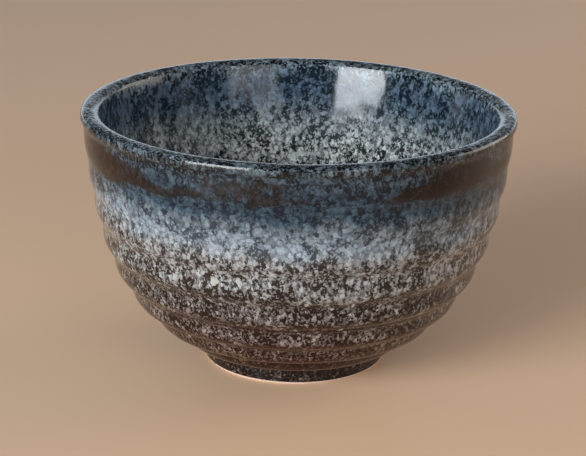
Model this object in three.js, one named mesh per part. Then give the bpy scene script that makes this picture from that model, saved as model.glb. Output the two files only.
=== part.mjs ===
// A thrown stoneware matcha bowl: a ringed clay wall and floor on a luted foot ring, with its
// coats of glaze. Millimetres, +Z up, origin at the centre of the plane that the foot rests on.
// Every piece is a turned solid, so each one is an outline of (radius, height) points that
// runs counter-clockwise and is revolved about the bowl's axis.
import * as THREE from 'three';

// Overall sizes, measured over the glaze.
const HEIGHT = 72.5;
const RIM_RADIUS = 60;
const FOOT_RADIUS = 25.5;
const FOOT_HEIGHT = 5.6;

// Thicknesses. The wall and floor are over the glaze on both faces, and the wall thickens from
// the neck down through the rings counted here.
const WALL_NECK = 4.8;
const WALL_BELLY = 5.6;
const THICKENING_RINGS = 2;
const FLOOR = 5.2;
const GLAZE = 0.5;

// The rounded lip: its thickness, the height of its crown above its widest line, and how far
// below the top the ringed wall starts.
const LIP_THICKNESS = 5.2;
const LIP_CROWN = 1.9;
const LIP_DEPTH = 4.2;

// The wall's curve leaves the foot along one handle and reaches the neck, just under the lip
// and set in from the rim, along the other.
const NECK_INSET = 0.8;
const BELLY_OUT = 15;
const BELLY_UP = 8.9;
const NECK_HANDLE_IN = 4.7;
const NECK_HANDLE_DOWN = 48;

// Throwing rings: equal steps along the wall, full at the foot and nearly flat at the neck.
const RING_COUNT = 8;
const RING_DEPTH_FOOT = 2.1;
const RING_DEPTH_NECK = 0.15;

// The foot ring: its thickness, its eased edges, and the bare strip below the glaze.
const FOOT_WALL = 4.8;
const FOOT_EASE = 0.3;
const BARE_STRIP = 0.8;

// The second dip covers the lip and this many rings outside, and as much of the wall inside.
const DIPPED_RINGS = 1;

// The inside leaves the wall for the floor at this ring, counted up from the foot.
const FLOOR_TURN_RING = 3;

// Steps of the facets.
const AROUND = 40;
const STEPS_PER_RING = 3;
const FLOOR_STEPS = 6;
const LIP_STEPS = 5;
const LIP_START = -Math.PI / 4;
const LIP_END = Math.PI;

const WALL_STEPS = RING_COUNT * STEPS_PER_RING;
const DIP_STEP = (RING_COUNT - DIPPED_RINGS) * STEPS_PER_RING;
const TURN_STEP = FLOOR_TURN_RING * STEPS_PER_RING;
const FLOOR_TOP = FOOT_HEIGHT + FLOOR;

const wallCurve = new THREE.CubicBezierCurve(
  new THREE.Vector2(FOOT_RADIUS, FOOT_HEIGHT),
  new THREE.Vector2(FOOT_RADIUS + BELLY_OUT, FOOT_HEIGHT + BELLY_UP),
  new THREE.Vector2(RIM_RADIUS - NECK_INSET - NECK_HANDLE_IN, HEIGHT - LIP_DEPTH - NECK_HANDLE_DOWN),
  new THREE.Vector2(RIM_RADIUS - NECK_INSET, HEIGHT - LIP_DEPTH),
);

// A point at an equal step along the wall's curve, moved out from it along its normal.
function besideWall(step, outwards) {
  const along = step / WALL_STEPS;
  const tangent = wallCurve.getTangentAt(along);
  const outward = new THREE.Vector2(tangent.y, -tangent.x);
  return wallCurve.getPointAt(along).addScaledVector(outward, outwards);
}

// How far a throwing ring stands out of the wall's curve at a step.
function ringRise(step) {
  const depth = THREE.MathUtils.lerp(RING_DEPTH_FOOT, RING_DEPTH_NECK, step / WALL_STEPS);
  return depth * Math.abs(Math.sin((Math.PI * step) / STEPS_PER_RING));
}

function range(first, last) {
  const count = Math.abs(last - first) + 1;
  return Array.from({ length: count }, (_, index) => first + index * Math.sign(last - first));
}

function wallThickness(step) {
  const below = (WALL_STEPS - step) / (THICKENING_RINGS * STEPS_PER_RING);
  const share = Math.sin((Math.PI / 2) * Math.min(below, 1));
  return THREE.MathUtils.lerp(WALL_NECK, WALL_BELLY, share);
}

// The outside of the wall, upwards, at a depth below the surface of the glaze.
function outerWall(firstStep, lastStep, depth) {
  return range(firstStep, lastStep).map((step) => besideWall(step, ringRise(step) - depth));
}

// The inside of the wall, downwards, at a depth below the surface of the glaze.
function innerWall(firstStep, lastStep, depth) {
  return range(firstStep, lastStep).map((step) => besideWall(step, depth - wallThickness(step)));
}

// The lip, from its outside over its crown to its inside, at a depth below the glaze.
function lip(depth) {
  return range(0, LIP_STEPS).map((index) => {
    const angle = THREE.MathUtils.lerp(LIP_START, LIP_END, index / LIP_STEPS);
    return new THREE.Vector2(
      RIM_RADIUS - LIP_THICKNESS / 2 + (LIP_THICKNESS / 2 - depth) * Math.cos(angle),
      HEIGHT - LIP_CROWN + (LIP_CROWN - depth) * Math.sin(angle),
    );
  });
}

// The dished floor, from the wall in to the axis: it leaves the wall along the wall's own
// slope and comes to the axis level.
function floorDish(depth) {
  const edge = besideWall(TURN_STEP, depth - wallThickness(TURN_STEP));
  const slope = wallCurve.getTangentAt(TURN_STEP / WALL_STEPS);
  const level = FLOOR_TOP - depth;
  const bend = edge.clone().addScaledVector(slope, (level - edge.y) / slope.y);
  const dish = new THREE.QuadraticBezierCurve(edge, bend, new THREE.Vector2(0, level));
  return dish.getPoints(FLOOR_STEPS).slice(1);
}

// The outside of the foot, upwards from the glaze line.
function footWall(depth) {
  return [
    new THREE.Vector2(FOOT_RADIUS - depth, BARE_STRIP),
    new THREE.Vector2(FOOT_RADIUS - depth, FOOT_HEIGHT),
  ];
}

// The hollow inside the foot, from the bare strip up its side and in to the axis.
function footWell(depth) {
  const radius = FOOT_RADIUS - FOOT_WALL + depth;
  const ceiling = FOOT_HEIGHT - GLAZE + depth;
  return [
    new THREE.Vector2(radius, BARE_STRIP),
    new THREE.Vector2(radius, ceiling),
    new THREE.Vector2(0, ceiling),
  ];
}

// One turned piece. An outline that leaves the axis ends on it, and any other is closed.
function turned(name, outline, look) {
  const onAxis = outline[0].x === 0;
  const profile = onAxis ? outline : [...outline, outline[0].clone()];
  const geometry = new THREE.LatheGeometry(profile, AROUND);
  geometry.rotateX(Math.PI / 2);
  const piece = new THREE.Mesh(geometry, new THREE.MeshStandardMaterial(look));
  piece.name = name;
  return piece;
}

// The thrown bowl of stoneware: level underneath, ringed outside, smooth inside.
function clayBody() {
  const outline = [
    new THREE.Vector2(0, FOOT_HEIGHT),
    new THREE.Vector2(FOOT_RADIUS - GLAZE, FOOT_HEIGHT),
    ...outerWall(0, WALL_STEPS, GLAZE),
    ...lip(GLAZE),
    ...innerWall(WALL_STEPS, TURN_STEP, GLAZE),
    ...floorDish(GLAZE),
  ];
  return turned('clay_body', outline, { color: 0xb39a80, roughness: 0.85, metalness: 0 });
}

// The foot: a coil of the same clay luted under the bowl, with its standing edge eased.
function footRing() {
  const outside = FOOT_RADIUS - GLAZE;
  const inside = FOOT_RADIUS - FOOT_WALL + GLAZE;
  const outline = [
    new THREE.Vector2(inside + FOOT_EASE, 0),
    new THREE.Vector2(outside - FOOT_EASE, 0),
    new THREE.Vector2(outside, FOOT_EASE),
    new THREE.Vector2(outside, BARE_STRIP),
    new THREE.Vector2(outside, FOOT_HEIGHT),
    new THREE.Vector2(inside, FOOT_HEIGHT),
    new THREE.Vector2(inside, BARE_STRIP),
    new THREE.Vector2(inside, FOOT_EASE),
  ];
  return turned('foot_ring', outline, { color: 0xbf9f86, roughness: 0.9, metalness: 0 });
}

// The speckled coat outside, from the bare strip up to the edge of the second dip.
function outerGlaze() {
  const surface = [...footWall(0), ...outerWall(1, DIP_STEP, 0)];
  const underside = [...footWall(GLAZE), ...outerWall(0, DIP_STEP, GLAZE)];
  const outline = [...surface, ...underside.reverse()];
  return turned('outer_glaze', outline, { color: 0x6f645e, roughness: 0.18, metalness: 0 });
}

// The slate blue second dip over the lip and down the wall on both sides.
function rimGlaze() {
  const surface = [
    ...outerWall(DIP_STEP, WALL_STEPS, 0),
    ...lip(0),
    ...innerWall(WALL_STEPS, DIP_STEP, 0),
  ];
  const underside = [
    ...outerWall(DIP_STEP, WALL_STEPS, GLAZE),
    ...lip(GLAZE),
    ...innerWall(WALL_STEPS, DIP_STEP, GLAZE),
  ];
  const outline = [...surface, ...underside.reverse()];
  return turned('rim_glaze', outline, { color: 0x333f4d, roughness: 0.12, metalness: 0 });
}

// The speckled coat inside, over the floor and up to the edge of the second dip.
function innerGlaze() {
  const surface = [...innerWall(DIP_STEP, TURN_STEP, 0), ...floorDish(0)];
  const underside = [...innerWall(DIP_STEP, TURN_STEP, GLAZE), ...floorDish(GLAZE)];
  const outline = [...underside.reverse(), ...surface];
  return turned('inner_glaze', outline, { color: 0x7a7672, roughness: 0.15, metalness: 0 });
}

// The coat in the hollow inside the foot.
function footWellGlaze() {
  const outline = [...footWell(0).reverse(), ...footWell(GLAZE)];
  return turned('foot_well_glaze', outline, { color: 0x3a302c, roughness: 0.2, metalness: 0 });
}

const bowl = new THREE.Group();
bowl.name = 'matcha_bowl';
bowl.add(clayBody(), footRing(), outerGlaze(), rimGlaze(), innerGlaze(), footWellGlaze());

export default bowl;
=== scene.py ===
# A thrown stoneware matcha bowl, put together as it is made: the clay body on its foot ring, then
# the coats of glaze, and last the floor and the light of a plain studio. Metres, +Z up.
import math

import bpy
from mathutils import Matrix, Vector
from mathutils.geometry import interpolate_bezier


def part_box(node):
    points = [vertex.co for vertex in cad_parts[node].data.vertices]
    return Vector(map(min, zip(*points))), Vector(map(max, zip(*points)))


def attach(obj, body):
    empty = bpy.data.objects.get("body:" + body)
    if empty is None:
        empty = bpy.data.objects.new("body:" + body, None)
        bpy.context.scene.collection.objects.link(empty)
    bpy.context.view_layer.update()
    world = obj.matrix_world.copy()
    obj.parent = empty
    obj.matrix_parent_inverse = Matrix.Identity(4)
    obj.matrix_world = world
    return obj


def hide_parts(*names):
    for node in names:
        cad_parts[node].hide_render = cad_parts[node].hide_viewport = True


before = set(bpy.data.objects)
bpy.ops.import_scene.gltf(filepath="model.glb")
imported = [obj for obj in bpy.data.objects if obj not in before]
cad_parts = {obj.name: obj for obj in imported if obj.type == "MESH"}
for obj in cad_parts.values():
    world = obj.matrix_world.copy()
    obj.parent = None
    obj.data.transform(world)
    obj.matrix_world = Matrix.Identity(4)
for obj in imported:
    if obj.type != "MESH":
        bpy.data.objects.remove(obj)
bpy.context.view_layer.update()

MM = 0.001

# The camera stands in front of the bowl and looks a little down into it, on a long lens, and it
# leans by about a degree, so that the rim falls slightly to the right.
CAMERA_AIM = Vector((-0.93, 0, 37.1)) * MM
CAMERA_DISTANCE = 540.5 * MM
CAMERA_TILT = math.radians(18.2)
CAMERA_LEAN = math.radians(1.08)
CAMERA_LENS = 117.9
CAMERA_SENSOR = 36

bpy.ops.object.camera_add()
camera = bpy.context.object
camera.data.lens = CAMERA_LENS
camera.data.sensor_width = CAMERA_SENSOR
away = Vector((0, -math.cos(CAMERA_TILT), math.sin(CAMERA_TILT)))
camera.matrix_world = (
    Matrix.Translation(CAMERA_AIM + away * CAMERA_DISTANCE)
    @ Matrix.Rotation(math.pi / 2 - CAMERA_TILT, 4, "X")
    @ Matrix.Rotation(CAMERA_LEAN, 4, "Z")
)
bpy.context.scene.camera = camera

# The clay body: the wall and floor of the bowl, thrown in one from buff stoneware on the wheel.
# The potter's fingers leave eight rings outside, deep at the foot and faint at the neck, and the
# lip is rolled into a round bead. It is covered by glaze all over.
RIM_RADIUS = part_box("rim_glaze")[1].x
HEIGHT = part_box("rim_glaze")[1].z
GLAZE = RIM_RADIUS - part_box("clay_body")[1].x
FOOT_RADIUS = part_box("foot_ring")[1].x + GLAZE
FOOT_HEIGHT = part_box("foot_ring")[1].z
FLOOR_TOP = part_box("inner_glaze")[0].z + GLAZE
WALL_NECK = 4.8 * MM
WALL_BELLY = 5.6 * MM
THICKENING_RINGS = 2
LIP_THICKNESS = 5.2 * MM
LIP_CROWN = 1.9 * MM
LIP_DEPTH = 4.2 * MM
NECK_INSET = 0.8 * MM
BELLY_HANDLE = Vector((15, 8.9)) * MM
NECK_HANDLE = Vector((4.7, 48)) * MM
RINGS = 8
RING_DEPTH_FOOT = 2.1 * MM
RING_DEPTH_NECK = 0.15 * MM
NOTCH_SOFTNESS = 0.6
# The floor leaves the wall at one ring, and the second dip of glaze starts at another.
FLOOR_TURN = 3
DIP = RINGS - 1
# The bead of the lip runs between these turns about its middle, and the power squares its outer
# shoulder a little.
LIP_START = math.radians(-45)
LIP_END = math.radians(155)
SHOULDER_POWER = 0.62
# How finely the outline and the turning are stepped.
CURVE_STEPS = 2000
RING_STEPS = 12
SHOULDER_STEPS = 6
LIP_STEPS = 24
FLOOR_STEPS = 26
AROUND = 240
# The way is a number that grows along the surface, by one for each ring up the outside, over the
# lip, down the inside and in to the middle of the floor. The glaze is painted by it.
LIP_WAY_START = RINGS + 0.1
LIP_WAY_END = RINGS + 0.95
WAY_END = 2 * RINGS + 1.3

neck = Vector((RIM_RADIUS - NECK_INSET, HEIGHT - LIP_DEPTH))
foot_edge = Vector((FOOT_RADIUS, FOOT_HEIGHT))
wall_handles = (foot_edge + BELLY_HANDLE, neck - NECK_HANDLE)
wall_line = interpolate_bezier(foot_edge, *wall_handles, neck, CURVE_STEPS)
wall_lengths = [0.0]
for here, there in zip(wall_line, wall_line[1:]):
    wall_lengths.append(wall_lengths[-1] + (there - here).length)


NEARLY_ALL = 0.999999


def on_wall(rings):
    """The point of the wall's curve that many rings above the foot, and the way the wall runs."""
    wanted = wall_lengths[-1] * rings / RINGS * NEARLY_ALL
    index = next(i for i, length in enumerate(wall_lengths) if length >= wanted)
    index = min(max(index, 1), len(wall_line) - 2)
    return wall_line[index], (wall_line[index + 1] - wall_line[index - 1]).normalized()


def beside_wall(rings, outwards, way):
    """A point of the outline moved out of the wall's curve, square to it."""
    point, run = on_wall(rings)
    return (*(point + Vector((run.y, -run.x)) * outwards), way)


def ring_rise(rings):
    """How far a throwing ring stands out there: a round swell between two soft notches."""
    depth = RING_DEPTH_FOOT + (RING_DEPTH_NECK - RING_DEPTH_FOOT) * rings / RINGS
    swell = math.hypot(math.sin(math.pi * rings), NOTCH_SOFTNESS) - NOTCH_SOFTNESS
    return depth * swell / (math.hypot(1, NOTCH_SOFTNESS) - NOTCH_SOFTNESS)


def steps(first, last):
    """Places along the wall, in rings, evenly from first to last."""
    count = round(abs(last - first) * RING_STEPS)
    return [first + (last - first) * i / count for i in range(count + 1)]


def wall_outside(first, last, depth):
    """The ringed outside, depth below the surface of the glaze."""
    return [beside_wall(rings, ring_rise(rings) - depth, rings) for rings in steps(first, last)]


def wall_inside(first, last, depth):
    """The smooth inside, depth below the surface of the glaze."""
    points = []
    for rings in steps(first, last):
        share = min((RINGS - rings) / THICKENING_RINGS, 1)
        thickness = WALL_NECK + (WALL_BELLY - WALL_NECK) * math.sin(share * math.pi / 2)
        points.append(beside_wall(rings, depth - thickness, WAY_END - rings))
    return points


def lip(depth):
    """The bead of the lip, from its outside over its full shoulder and its crown to the inside."""
    middle = Vector((RIM_RADIUS - LIP_THICKNESS / 2, HEIGHT - LIP_CROWN))
    reach = Vector((LIP_THICKNESS / 2 - depth, LIP_CROWN - depth))
    points = []
    for i in range(LIP_STEPS + 1):
        angle = LIP_START + (LIP_END - LIP_START) * i / LIP_STEPS
        power = SHOULDER_POWER if 0 < angle < math.pi / 2 else 1
        across = reach.x * math.cos(angle) ** power
        over = middle + Vector((across, reach.y * math.sin(angle) ** power))
        way = LIP_WAY_START + (LIP_WAY_END - LIP_WAY_START) * i / LIP_STEPS
        points.append((*over, way))
    return points


def bent(start, bend, end, count):
    """A curve of the outline from start to end that is drawn towards bend."""
    points = []
    for i in range(1, count + 1):
        t = i / count
        at = (1 - t) ** 2 * Vector(start) + 2 * t * (1 - t) * Vector(bend) + t**2 * Vector(end)
        points.append(tuple(at))
    return points


def inside_down(depth, last):
    """The inside, eased from the lip's inner shoulder into the wall and down it to last."""
    shoulder = lip(depth)[-1]
    wall = wall_inside(RINGS, last, depth)
    fall = Vector((depth - LIP_THICKNESS / 2, 0)) * math.sin(LIP_END)
    fall.y = (LIP_CROWN - depth) * math.cos(LIP_END)
    run = Vector(wall[1][:2]) - Vector(wall[0][:2])
    gap = Vector(wall[0][:2]) - Vector(shoulder[:2])
    reach = (gap.x * run.y - gap.y * run.x) / (fall.x * run.y - fall.y * run.x)
    bend = (*(Vector(shoulder[:2]) + fall * reach), (shoulder[2] + wall[0][2]) / 2)
    return bent(shoulder, bend, wall[0], SHOULDER_STEPS) + wall[1:]


def floor_dish(depth):
    """The dished floor, from the inside of the wall in to the axis."""
    edge = wall_inside(FLOOR_TURN + 1, FLOOR_TURN, depth)[-1]
    run = on_wall(FLOOR_TURN)[1]
    level = FLOOR_TOP - depth
    bend = (edge[0] + run.x * (level - edge[1]) / run.y, level, edge[2] + FLOOR_TURN / 2)
    return bent(edge, bend, (0, level, edge[2] + FLOOR_TURN), FLOOR_STEPS)


# Each coat of glaze has a map of its own: upright strips of the coat, one above another, with
# the faces that another piece covers drawn in to a narrow edge.
HIDDEN_WAY = -3
HIDDEN_SHARE = 0.06
MAP_GAP = 0.012
AXIS_REACH = 0.01 * MM


def hidden(points):
    """The same points of an outline, marked as a face that is covered by another piece."""
    return [(point[0], point[1], HIDDEN_WAY) for point in points]


def unrolled(piece, outline, strips):
    """Cuts the piece into upright strips and lays them flat on its map."""
    drawn = [0.0]
    for here, there in zip(outline, outline[1:]):
        covered = HIDDEN_WAY in (here[2], there[2])
        reach = math.dist(here[:2], there[:2]) * (HIDDEN_SHARE if covered else 1)
        drawn.append(drawn[-1] + reach)
    mesh = piece.data
    rows = [round(value.value) for value in mesh.attributes["row"].data]
    turns = [math.atan2(vertex.co.y, vertex.co.x) for vertex in mesh.vertices]
    strip_turn = math.tau / strips
    flat = mesh.uv_layers.new(name="OFBake")
    for face in mesh.polygons:
        strip = math.floor(math.atan2(face.center.y, face.center.x) % math.tau / strip_turn)
        middle = (strip + 0.5) * strip_turn
        last = len(outline) - 1
        closing = any(last / 2 < rows[corner] < last for corner in face.vertices)
        for loop in face.loop_indices:
            corner = mesh.loops[loop].vertex_index
            row = rows[corner]
            if row in (0, last):
                row = last if closing else 0
            across = 0.5
            if math.hypot(*mesh.vertices[corner].co[:2]) > AXIS_REACH:
                across += math.remainder(turns[corner] - middle, math.tau) / strip_turn
            up = drawn[row] / drawn[-1]
            across, up = (MAP_GAP / 2 + share * (1 - MAP_GAP) for share in (across, up))
            flat.data[loop].uv = (across, (strip + up) / strips)
    mesh.attributes.remove(mesh.attributes["row"])


MERGE_DISTANCE = 0.002 * MM


def turned(name, outline, strips=0):
    """One solid of the wheel. A single vertex is drawn out along the outline and spun round."""
    bpy.ops.object.select_all(action="DESELECT")
    bpy.ops.mesh.primitive_plane_add(size=MM, location=(outline[0][0], 0, outline[0][1]))
    piece = bpy.context.object
    piece.name = piece.data.name = name
    bpy.ops.object.transform_apply()
    bpy.ops.object.mode_set(mode="EDIT")
    bpy.ops.mesh.select_all(action="SELECT")
    bpy.ops.mesh.merge(type="CENTER")
    for here, there in zip(outline, outline[1:]):
        reach = (there[0] - here[0], 0, there[1] - here[1])
        bpy.ops.mesh.extrude_region_move(TRANSFORM_OT_translate={"value": reach})
    bpy.ops.object.mode_set(mode="OBJECT")
    way = piece.data.attributes.new("way", "FLOAT", "POINT")
    way.data.foreach_set("value", [point[2] for point in outline])
    row = piece.data.attributes.new("row", "FLOAT", "POINT")
    row.data.foreach_set("value", range(len(outline)))
    bpy.ops.object.mode_set(mode="EDIT")
    bpy.ops.mesh.select_all(action="SELECT")
    bpy.ops.mesh.spin(steps=AROUND, angle=math.tau, center=(0, 0, 0), axis=(0, 0, 1))
    bpy.ops.mesh.select_all(action="SELECT")
    bpy.ops.mesh.remove_doubles(threshold=MERGE_DISTANCE)
    bpy.ops.mesh.normals_make_consistent(inside=False)
    bpy.ops.object.mode_set(mode="OBJECT")
    if strips:
        unrolled(piece, outline, strips)
    return piece


SWAY_SIZE = {"X": 46 * MM, "Y": 38 * MM}
SWAY = 0.7 * MM
SMOOTH_UNDER = math.radians(50)
sway_noises = {}
for axis, size in SWAY_SIZE.items():
    sway_noises[axis] = bpy.data.textures.new("sway_" + axis, "CLOUDS")
    sway_noises[axis].noise_scale = size
    sway_noises[axis].noise_depth = 1


def hand_thrown(piece):
    """Sways the piece a few tenths of a millimetre out of true, alike in all that touch."""
    for axis, noise in sway_noises.items():
        sway = piece.modifiers.new("sway_" + axis, "DISPLACE")
        sway.texture = noise
        sway.texture_coords = "GLOBAL"
        sway.direction = axis
        sway.strength = SWAY
        bpy.ops.object.modifier_apply(modifier=sway.name)
    bpy.ops.object.shade_smooth_by_angle(angle=SMOOTH_UNDER)


SCREEN_GAMMA = 2.2


def colour(red, green, blue):
    """A colour of the glaze chart, 0 to 255 for each light, as a shader takes it."""
    return (*((light / 255) ** SCREEN_GAMMA for light in (red, green, blue)), 1)


class Brush:
    """A socket of a material, with the arithmetic that adds its Math nodes."""

    def __init__(self, tree, socket=None):
        self.tree = tree
        self.socket = socket

    def node(self, kind, settings, sockets, output=0):
        """Adds a node with its settings, then its sockets, and gives one of its outputs."""
        made = self.tree.nodes.new("ShaderNode" + kind)
        for key, value in settings.items():
            if key == "stops":
                ramp = made.color_ramp.elements
                while len(ramp) < len(value):
                    ramp.new(1)
                for stop, (position, tint) in zip(ramp, value):
                    stop.position = position
                    stop.color = tint
            else:
                setattr(made, key, value)
        for key, value in sockets.items():
            if isinstance(value, Brush):
                self.tree.links.new(value.socket, made.inputs[key])
            else:
                made.inputs[key].default_value = value
        return Brush(self.tree, made.outputs[output])

    def math(self, operation, first, second):
        return self.node("Math", {"operation": operation}, {0: first, 1: second})

    def __add__(self, other):
        return self.math("ADD", self, other)

    def __sub__(self, other):
        return self.math("SUBTRACT", self, other)

    def __rsub__(self, other):
        return self.math("SUBTRACT", other, self)

    def __mul__(self, other):
        return self.math("MULTIPLY", self, other)

    __radd__ = __add__
    __rmul__ = __mul__

    def most(self, other):
        return self.math("MAXIMUM", self, other)

    def also(self, output):
        """Another output of the same node."""
        return Brush(self.tree, self.socket.node.outputs[output])

    def rise(self, start, end):
        """0 below start, 1 above end, and smooth between them."""
        settings = {"interpolation_type": "SMOOTHSTEP"}
        return self.node("MapRange", settings, {"Value": self, "From Min": start, "From Max": end})

    def between(self, start, full, fading, end):
        """1 from full to fading, and 0 below start and above end."""
        return self.rise(start, full) * self.rise(end, fading)

    def blend(self, first, second):
        """The colour first where the value is 0, second where it is 1."""
        settings = {"data_type": "RGBA", "clamp_factor": True}
        return self.node("Mix", settings, {0: self, 6: first, 7: second}, 2)

    def place(self):
        """The place on the object, in millimetres."""
        spot = self.node("TexCoord", {}, {}, "Object")
        return spot.node("VectorMath", {"operation": "SCALE"}, {0: spot, "Scale": 1 / MM})

    def stretched(self, along, up):
        """A place whose patterns are drawn out, by so much on the level and upright."""
        return self.node("Mapping", {}, {"Vector": self, "Scale": (1 / along, 1 / along, 1 / up)})

    def shifted(self, offset):
        return self.node("VectorMath", {"operation": "ADD"}, {0: self, 1: offset})

    def scaled(self, factor):
        return self.node("VectorMath", {"operation": "SCALE"}, {0: self, "Scale": factor})

    def times(self, tone):
        """The colour made lighter or darker by a tone."""
        settings = {"data_type": "RGBA", "blend_type": "MULTIPLY"}
        return self.node("Mix", settings, {0: 1.0, 6: self, 7: tone}, 2)

    def clouds(self, size, detail=2, roughness=0.5):
        """Soft noise whose clouds are about size across, 0.5 on average."""
        sockets = {"Vector": self, "Scale": 1 / size, "Detail": detail, "Roughness": roughness}
        return self.node("TexNoise", {}, sockets)


def new_material(name):
    """A material, the brush that paints it and its Principled shader."""
    material = bpy.data.materials.new(name)
    material.use_nodes = True
    return material, Brush(material.node_tree), material.node_tree.nodes["Principled BSDF"].inputs


def paint(inputs, key, brush):
    brush.tree.links.new(brush.socket, inputs[key])


SAND_SIZE = 0.5
WHEEL_LINE = (40, 0.35)
SPECK_SIZE = 0.8
SPECK_EDGE = (0.68, 0.72)
IRON = colour(92, 62, 44)
SAND_RELIEF = 0.1 * MM
CLAY_ROUGHNESS = 0.85


def clay_material(name, light, dark):
    """Fired buff stoneware: sandy grain, a few iron specks and fine lines left by the wheel."""
    material, brush, inputs = new_material(name)
    place = brush.place()
    grain = place.clouds(SAND_SIZE, 3, 0.65)
    lines = place.stretched(*WHEEL_LINE).clouds(1)
    specks = place.clouds(SPECK_SIZE, 1).rise(*SPECK_EDGE)
    tone = (grain * 0.6 + lines * 0.4).rise(0.35, 0.65)
    clay = tone.blend(colour(*dark), colour(*light))
    paint(inputs, "Base Color", specks.blend(clay, IRON))
    relief = {"Strength": 0.5, "Distance": SAND_RELIEF, "Height": grain + lines}
    paint(inputs, "Normal", brush.node("Bump", {}, relief))
    inputs["Roughness"].default_value = CLAY_ROUGHNESS
    return material


clay_body = turned(
    "clay_body_thrown",
    [(0, FOOT_HEIGHT, 0), (FOOT_RADIUS - GLAZE, FOOT_HEIGHT, 0)]
    + wall_outside(0, RINGS, GLAZE)
    + lip(GLAZE)
    + inside_down(GLAZE, FLOOR_TURN)
    + floor_dish(GLAZE),
)
hand_thrown(clay_body)
clay_body.data.materials.append(clay_material("buff_clay", (196, 166, 140), (170, 138, 112)))
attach(clay_body, "root")
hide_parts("clay_body")

# The foot ring: a coil of the same clay, luted under the bowl and turned true. Its inner and outer
# edges are eased, and the strip that it stands on is wiped clean of glaze and stays bare.
FOOT_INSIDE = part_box("foot_well_glaze")[1].x
BARE_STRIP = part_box("outer_glaze")[0].z
FOOT_OUTSIDE = FOOT_RADIUS - GLAZE
FOOT_EASE = 0.3 * MM
EASE_STEPS = 4


def foot_side(radius, inwards):
    """One side of the foot, from the flat that it stands on round the eased edge to its top."""
    edge = (radius + inwards * FOOT_EASE, 0, 0)
    ease = bent(edge, (radius, 0, 0), (radius, FOOT_EASE, 0), EASE_STEPS)
    top = [(radius, BARE_STRIP, 0), (radius, FOOT_HEIGHT, 0)]
    return [(radius + inwards * FOOT_EASE * 2, 0, 0), edge] + ease + top


foot_outline = foot_side(FOOT_OUTSIDE, -1) + foot_side(FOOT_INSIDE, 1)[::-1]
foot_ring = turned("foot_ring_turned", foot_outline + foot_outline[:1])
hand_thrown(foot_ring)
foot_ring.data.materials.append(clay_material("wiped_clay", (206, 182, 164), (182, 154, 134)))
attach(foot_ring, "root")
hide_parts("foot_ring")

# The outer glaze: a speckled coat half a millimetre thick, from the bare strip on the foot up
# to the neck of the bowl. It pools in the crease over the foot and ends there in a round roll.
CREASE_BELOW = 1.8 * MM
CREASE_RINGS = 0.25
CREASE_STEPS = 8
ROLL_STEPS = 4
FOOT_WAY = -0.6
CREASE_WAY = -0.3
glaze_end = BARE_STRIP + GLAZE / 2
crease = (FOOT_RADIUS, FOOT_HEIGHT - CREASE_BELOW, CREASE_WAY)
wall_surface = wall_outside(CREASE_RINGS, DIP, 0)
surface = [(FOOT_RADIUS, glaze_end, FOOT_WAY), crease]
surface += bent(crease, (FOOT_RADIUS, FOOT_HEIGHT, 0), wall_surface[0], CREASE_STEPS)
surface += wall_surface[1:]
roll_start = (FOOT_OUTSIDE, glaze_end, FOOT_WAY)
roll_under = (FOOT_RADIUS - GLAZE / 2, BARE_STRIP, FOOT_WAY)
roll = bent(roll_start, (FOOT_OUTSIDE, BARE_STRIP, FOOT_WAY), roll_under, ROLL_STEPS)
roll += bent(roll_under, (FOOT_RADIUS, BARE_STRIP, FOOT_WAY), surface[0], ROLL_STEPS)
foot_corner = (FOOT_OUTSIDE, FOOT_HEIGHT, 0)
underside = hidden([roll_start, foot_corner] + wall_outside(0, DIP, GLAZE))

# The glaze along the way from the foot to the middle of the floor: the place on the way, the dark
# ground, the flecks that float in it, and the share of the surface that they cover.
GLAZE_WAY = [
    (-1.0, (16, 8, 6), (92, 80, 75), 0.20),
    (-0.3, (16, 8, 6), (92, 80, 75), 0.28),
    (0.1, (20, 8, 4), (76, 56, 44), 0.24),
    (1.0, (30, 5, 1), (92, 67, 54), 0.31),
    (1.5, (34, 9, 3), (110, 89, 79), 0.32),
    (2.3, (32, 11, 6), (126, 112, 106), 0.37),
    (3.2, (28, 12, 8), (122, 113, 108), 0.37),
    (4.2, (27, 15, 12), (121, 118, 116), 0.38),
    (4.7, (38, 30, 28), (141, 143, 143), 0.48),
    (5.55, (42, 37, 36), (137, 138, 140), 0.55),
    (5.85, (56, 60, 64), (130, 139, 146), 0.60),
    (6.15, (55, 64, 72), (126, 140, 153), 0.60),
    (6.35, (44, 52, 60), (114, 125, 136), 0.57),
    (6.6, (40, 47, 54), (96, 106, 114), 0.56),
    (6.9, (8, 30, 44), (56, 75, 88), 0.58),
    (7.2, (8, 25, 37), (50, 67, 78), 0.56),
    (7.6, (8, 22, 32), (46, 60, 72), 0.54),
    (8.0, (14, 27, 36), (66, 80, 90), 0.48),
    (8.2, (10, 17, 22), (66, 78, 85), 0.42),
    (8.6, (10, 14, 17), (96, 108, 116), 0.42),
    (9.0, (12, 17, 21), (112, 126, 135), 0.50),
    (9.4, (22, 33, 41), (80, 96, 112), 0.46),
    (9.9, (22, 34, 43), (76, 90, 107), 0.48),
    (10.2, (30, 41, 49), (90, 106, 120), 0.52),
    (10.6, (42, 50, 54), (122, 132, 139), 0.54),
    (11.0, (62, 69, 71), (160, 169, 172), 0.58),
    (11.7, (46, 48, 49), (200, 205, 207), 0.54),
    (12.3, (32, 31, 31), (198, 202, 203), 0.48),
    (13.3, (32, 31, 30), (194, 195, 194), 0.48),
    (17.3, (36, 33, 30), (164, 162, 156), 0.52),
]
WAY_START = GLAZE_WAY[0][0]
WAY_LENGTH = WAY_END - WAY_START
# The edges of the bands drift up and down by a part of a ring, and the second dip leans.
DRIFT = 0.9
DRIFT_SIZE = 9
DRIFT_UPRIGHT = 3
DIP_LEAN = 0.0025
LEAN_ENDS = (8.2, 7.4)


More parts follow.
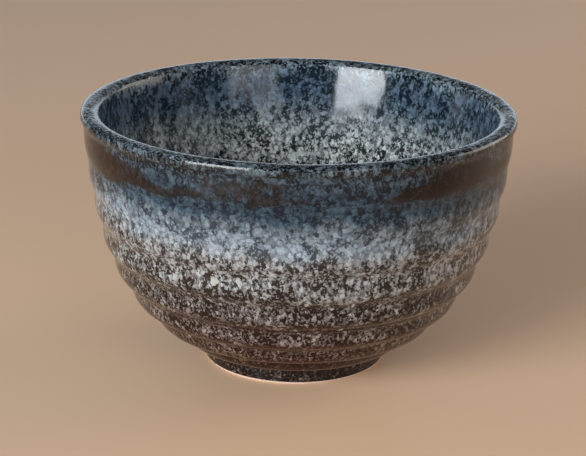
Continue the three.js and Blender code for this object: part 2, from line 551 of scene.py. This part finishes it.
def glaze_bands(place, way):
    """The ground, the flecks and the share that they cover, at each place of the surface."""
    drift = place.stretched(1, DRIFT_UPRIGHT).clouds(DRIFT_SIZE) - 0.5
    sideways = place.node("SeparateXYZ", {}, {0: place}, "X")
    lean = sideways * DIP_LEAN * way.rise(*LEAN_ENDS)
    share = (way + lean + drift * DRIFT - WAY_START) * (1 / WAY_LENGTH)

    def along_way(pick):
        stops = [((row[0] - WAY_START) / WAY_LENGTH, pick(row)) for row in GLAZE_WAY]
        return place.node("ValToRGB", {"stops": stops}, {"Fac": share})

    ground = along_way(lambda row: colour(*row[1]))
    pale = along_way(lambda row: colour(*row[2]))
    cover = along_way(lambda row: (row[3], row[3], row[3], 1))
    return ground, pale, cover


# Where rust breaks through the second dip: the turn round the bowl in degrees, the height, the
# reach sideways and the reach upwards in millimetres, and how strong it is.
RUST_PATCHES = [
    (-158, 65.5, 15, 5.2, 1.0),
    (-142, 63.4, 13, 3.2, 0.9),
    (-125, 62.3, 13, 1.6, 0.6),
    (-103, 65.0, 14, 4.6, 0.5),
    (-94, 62.6, 8, 1.1, 0.4),
    (-58, 63.2, 10, 1.8, 1.0),
    (-43, 65.8, 13, 4.9, 1.1),
    (-25, 63.6, 15, 1.8, 1.0),
    (20, 64.5, 17, 3.6, 0.9),
    (62, 66.0, 12, 3.0, 0.7),
    (98, 64.0, 21, 4.4, 1.0),
    (146, 65.0, 13, 2.8, 0.6),
]
NECK_RADIUS = 58.5
FRAY_SIZE = 7
FRAY = 5
BREAK_SIZE = 2.4
RED_SIZE = 4
PATCH_EDGE = (1.4, 0.5)
RUST_EDGE = (0.2, 0.7)
RUST_ENDS = (8.15, 7.95)
RED_PATCHES = (0.8, 1.15)
RED_CLOUDS = (0.6, 0.85)
RUST_GROUND = colour(10, 11, 13), colour(20, 8, 9)
RUST_PALE = colour(39, 38, 42), colour(41, 27, 28)


def rust_marks(place, way):
    """Where the dip is rusty, and where the rust is so strong that it turns red, each 0 to 1."""
    frayed = place.shifted(place.clouds(FRAY_SIZE).also("Color").scaled(FRAY))
    frayed = frayed.shifted((-FRAY / 2, -FRAY / 2, -FRAY / 2))
    marks = 0.0
    for turn, height, wide, high, strength in RUST_PATCHES:
        turn = math.radians(turn)
        middle = (-NECK_RADIUS * math.cos(turn), -NECK_RADIUS * math.sin(turn), -height)
        away = frayed.shifted(middle).stretched(wide, high)
        away = away.node("VectorMath", {"operation": "LENGTH"}, {0: away}, "Value")
        marks = marks + away.rise(*PATCH_EDGE) * strength
    breaks = (place.clouds(BREAK_SIZE) - 0.5) * 1.4
    rust = (marks + breaks).rise(*RUST_EDGE) * way.rise(*RUST_ENDS)
    reds = place.shifted((5, 3, 1)).clouds(RED_SIZE) * 0.6 + rust * 0.5
    return rust, marks.rise(*RED_PATCHES) * reds.rise(*RED_CLOUDS)


# Low on the wall the underside of each throwing ring is bare of flecks and redder: partly iron that
# shows where the glaze runs thin, and partly a painted warm reflection from below the bowl.
UNDER_GROUND_IRON_AND_REFLECTION = colour(50, 16, 4)
UNDER_PALE_IRON_AND_REFLECTION = colour(88, 52, 34)
UNDER_IRON_AND_REFLECTION_PHASE = (0, 0.1, 0.4, 0.7)
UNDER_IRON_AND_REFLECTION_ZONE = (0, 0.1, 2.4, 3.9)


def ring_undersides_iron_and_reflection(way):
    """The underside of each of the lower throwing rings, 0 to 1: thin glaze with iron, and a painted
    warm reflection.
    """
    phase = way.math("FRACT", way, 0)
    return phase.between(*UNDER_IRON_AND_REFLECTION_PHASE) * way.between(*UNDER_IRON_AND_REFLECTION_ZONE)


# The flecks. They are measured along the surface, a little drawn out down the wall, and their
# sizes are in millimetres.
FLOW_STEP = wall_lengths[-1] / RINGS / MM
FLOW_STRETCH = 1.25
JITTER_SIZE = 0.8
JITTER = 1.1
FLECK_SIZE = 1.6
FINE_SIZE = 1.0
SLATE_SIZE = 2.1
GAP_SIZE = 1.15
BEAD_SIZE = 0.85
CLUMP_SIZE = 6
CLUSTER_SIZE = 2.4
GRAIN_SIZE = 0.5
FLECK_EDGE = 0.67
FLECK_SOFTNESS = 0.055
COVER_REACH = 0.32
GAP_EDGE = (0.42, 0.72)
BEAD_EDGE = (0.48, 0.26)
BEADED_COVER = (0.1, 0.5)
# The flecks are fine on the lowest rings, and drawn into larger fields in two stretches.
BROAD_FROM = (3.6, 4.8)
SLATE_OUTSIDE = (5.3, 6.0, 7.0, 7.6)
SLATE_INSIDE = (9.0, 9.5, 10.5, 11.1)


def flow_place(place, way):
    """The place on the object, but with its height measured along the surface, and jittered."""
    level = place.node("SeparateXYZ", {}, {0: place}, "X")
    down = way * (FLOW_STEP / FLOW_STRETCH)
    flow = place.node("CombineXYZ", {}, {"X": level, "Y": level.also("Y"), "Z": down})
    return flow.shifted(place.clouds(JITTER_SIZE, 1).also("Color").scaled(JITTER))


def flecks(place, way, cover):
    """How thickly the flecks lie at each place, 0 to 1, and the tone of each."""
    flow = flow_place(place, way)
    clumps = place.clouds(CLUMP_SIZE) - 0.5
    clusters = place.clouds(CLUSTER_SIZE, 1) - 0.5
    edge = FLECK_EDGE - cover * COVER_REACH - clumps * 0.42 - clusters * 0.2
    broad = way.rise(*BROAD_FROM)
    slate = way.between(*SLATE_INSIDE) + way.between(*SLATE_OUTSIDE) * 0.5
    field = flow.clouds(FLECK_SIZE, 3, 0.6) * broad + flow.clouds(FINE_SIZE, 3, 0.6) * (1 - broad)
    field = flow.clouds(SLATE_SIZE, 3, 0.55) * slate + field * (1 - slate)
    body = field.rise(edge - FLECK_SOFTNESS, edge + FLECK_SOFTNESS)
    seeds = flow.node("TexVoronoi", {}, {"Vector": flow, "Scale": 1 / GAP_SIZE})
    spots = body * (1 - seeds.rise(*GAP_EDGE) * (0.7 - slate * 0.2))
    beads = flow.shifted((3, 23, 9))
    beads = beads.node("TexVoronoi", {}, {"Vector": beads, "Scale": 1 / BEAD_SIZE})
    spots = spots.most(beads.rise(*BEAD_EDGE) * cover.rise(*BEADED_COVER) * 0.6)
    seed_tone = seeds.node("SeparateColor", {}, {0: seeds.also("Color")})
    grain = flow.shifted((31, 17, 5)).clouds(GRAIN_SIZE, 2, 0.6)
    return spots, seed_tone * 0.5 + grain * 0.8 + 0.4


# Blooms are pale blots where the flecks have run together, on the middle of the wall.
BLOOM_SIZE = 3
BLOOM_EDGE = (0.67, 0.71)
BLOOM_ZONE = (2.4, 3.4, 4.8, 5.6)
BLOOM = colour(156, 160, 154)
# The surface waves gently, and the flecks stand a little out of it, most of all on the lip.
WAVE_SIZE = 8
WAVE = 0.16
RELIEF = 0.004
LIP_RELIEF = 0.022
LIP_ZONE = (8.05, 8.3, 9.0, 9.35)
# The faces that another piece covers are left without flecks.
UNCOVERED = (-1.8, -1.2)
GLAZE_ROUGHNESS = 0.1
GLAZE_SPECULAR = 0.4


def glaze_material(name):
    """The kiln's work: pale flecks that float in a dark glaze and change along the wall."""
    material, brush, inputs = new_material(name)
    place = brush.place()
    way = brush.node("Attribute", {"attribute_name": "way"}, {}, "Fac")
    ground, pale, cover = glaze_bands(place, way)
    rust, reds = rust_marks(place, way)
    under_iron_and_reflection = ring_undersides_iron_and_reflection(way)
    ground = rust.blend(ground, reds.blend(*RUST_GROUND))
    pale = rust.blend(pale, reds.blend(*RUST_PALE))
    # The ring undersides get a redder ground and pale: thin glaze, and a painted warm reflection
    # from below.
    ground = (under_iron_and_reflection * 0.8).blend(ground, UNDER_GROUND_IRON_AND_REFLECTION)
    pale = (under_iron_and_reflection * 0.7).blend(pale, UNDER_PALE_IRON_AND_REFLECTION)
    spots, tone = flecks(place, way, cover - under_iron_and_reflection * 0.18)
    bloom = place.shifted((7, 3, 11)).clouds(BLOOM_SIZE).rise(*BLOOM_EDGE)
    bloom = bloom * way.between(*BLOOM_ZONE)
    pale = bloom.blend(pale.times(tone), BLOOM)
    spots = spots.most(bloom * 0.9) * way.rise(*UNCOVERED)
    paint(inputs, "Base Color", spots.blend(ground, pale))
    paint(inputs, "Roughness", spots * 0.06 + GLAZE_ROUGHNESS)
    waves = place.shifted((9, 5, 2)).clouds(WAVE_SIZE, 1) * WAVE
    height = waves + spots * (way.between(*LIP_ZONE) * LIP_RELIEF + RELIEF)
    relief = {"Strength": 1.0, "Distance": MM, "Height": height}
    paint(inputs, "Normal", brush.node("Bump", {}, relief))
    inputs["Specular IOR Level"].default_value = GLAZE_SPECULAR
    return material


speckled_glaze = glaze_material("speckled_glaze")
outer_glaze = turned("outer_glaze_coat", surface + underside[::-1] + roll, 2)
hand_thrown(outer_glaze)
outer_glaze.data.materials.append(speckled_glaze)
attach(outer_glaze, "root")
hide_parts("outer_glaze")

# The rim glaze: the second dip, slate blue with rust brown patches, over the lip and down one
# ring of the wall outside and as far inside.
surface = wall_outside(DIP, RINGS, 0) + lip(0) + inside_down(0, DIP)
underside = hidden(wall_outside(DIP, RINGS, GLAZE) + lip(GLAZE) + inside_down(GLAZE, DIP))
rim_glaze = turned("rim_glaze_coat", surface + underside[::-1] + surface[:1], 4)
hand_thrown(rim_glaze)
rim_glaze.data.materials.append(speckled_glaze)
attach(rim_glaze, "root")
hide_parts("rim_glaze")

# The inner glaze: the speckled coat inside, over the wall and the dished floor.
surface = wall_inside(DIP, FLOOR_TURN, 0) + floor_dish(0)
underside = hidden(wall_inside(DIP, FLOOR_TURN, GLAZE) + floor_dish(GLAZE))
inner_glaze = turned("inner_glaze_coat", underside[::-1] + surface, 2)
hand_thrown(inner_glaze)
inner_glaze.data.materials.append(speckled_glaze)
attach(inner_glaze, "root")
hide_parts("inner_glaze")

# The foot well glaze: the coat in the hollow inside the foot, up its side and over its ceiling.
WELL_RADIUS = FOOT_INSIDE - GLAZE
WELL_EASE = 1.6 * MM
WELL_STEPS = 8
WELL_CEILING = FOOT_HEIGHT - GLAZE
CEILING_SHARES = (0.6, 0.3, 0)
surface = [(WELL_RADIUS, BARE_STRIP, FOOT_WAY), (WELL_RADIUS, WELL_CEILING - WELL_EASE, CREASE_WAY)]
corner = (WELL_RADIUS, WELL_CEILING, 0)
surface += bent(surface[-1], corner, (WELL_RADIUS - WELL_EASE, WELL_CEILING, 0), WELL_STEPS)
surface += [(WELL_RADIUS * share, WELL_CEILING, 0) for share in CEILING_SHARES]
underside = [(FOOT_INSIDE, BARE_STRIP, 0), (FOOT_INSIDE, FOOT_HEIGHT, 0), (0, FOOT_HEIGHT, 0)]
foot_well_glaze = turned("foot_well_glaze_coat", surface[::-1] + hidden(underside), 2)
hand_thrown(foot_well_glaze)
foot_well_glaze.data.materials.append(speckled_glaze)
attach(foot_well_glaze, "root")
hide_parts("foot_well_glaze")

# The floor: a plain pale sheet, far larger than the bowl, a hair below the foot so that the two
# flat faces don't share one plane.
FLOOR_SIZE = 6
FLOOR_GAP = 0.05 * MM
FLOOR_COLOUR = colour(228, 190, 156)
FLOOR_ROUGHNESS = 0.6
bpy.ops.mesh.primitive_plane_add(size=FLOOR_SIZE, location=(0, 0, -FLOOR_GAP))
floor = bpy.context.object
floor.name = "floor"
floor_paint = bpy.data.materials.new("floor_paint")
floor_paint.use_nodes = True
floor_shader = floor_paint.node_tree.nodes["Principled BSDF"]
floor_shader.inputs["Base Color"].default_value = FLOOR_COLOUR
floor_shader.inputs["Roughness"].default_value = FLOOR_ROUGHNESS
floor.data.materials.append(floor_paint)

# The light: a large bright softbox in front to the left, a dim one in front to the right, a warm
# wall at the right, and a low blue backdrop that draws a fine line of light along the lip.
AIM = Vector((0, 0, 45)) * MM
WINDOW_LIGHT = (0.92, 0.97, 1)
WALL_LIGHT = (1, 0.88, 0.78)
BACKDROP_LIGHT = (0.72, 0.87, 1)
ROOM_LIGHT = (0.92, 0.95, 1, 1)
ROOM_STRENGTH = 0.16


def softbox(name, azimuth, elevation, distance, width, height, watts):
    """A softbox that faces the bowl; azimuth is turned from the front to the right, in degrees."""
    turn = math.radians(azimuth)
    rise = math.radians(elevation)
    way = Vector((math.sin(turn) * math.cos(rise), -math.cos(turn) * math.cos(rise), math.sin(rise)))
    bpy.ops.object.light_add(type="AREA", location=AIM + way * distance)
    light = bpy.context.object
    light.name = name
    light.rotation_euler = way.to_track_quat("Z", "Y").to_euler()
    light.data.shape = "RECTANGLE"
    light.data.size = width
    light.data.size_y = height
    light.data.energy = watts
    return light


softbox_left = softbox("softbox_left", -40, 14.5, 1.1, 0.6, 0.56, 18)
softbox_left.data.color = WINDOW_LIGHT
softbox("softbox_right", 28, 15, 1.1, 0.6, 0.5, 2.4)
side_wall = softbox("side_wall", 112, 15, 1.4, 1.0, 0.8, 9)
side_wall.data.color = WALL_LIGHT
backdrop = softbox("backdrop", 180, 2, 1.8, 3.0, 0.7, 9.3)
backdrop.data.color = BACKDROP_LIGHT
room = bpy.data.worlds.new("room")
bpy.context.scene.world = room
room.use_nodes = True
room.node_tree.nodes["Background"].inputs["Color"].default_value = ROOM_LIGHT
room.node_tree.nodes["Background"].inputs["Strength"].default_value = ROOM_STRENGTH
bpy.context.scene.view_settings.view_transform = "Standard"
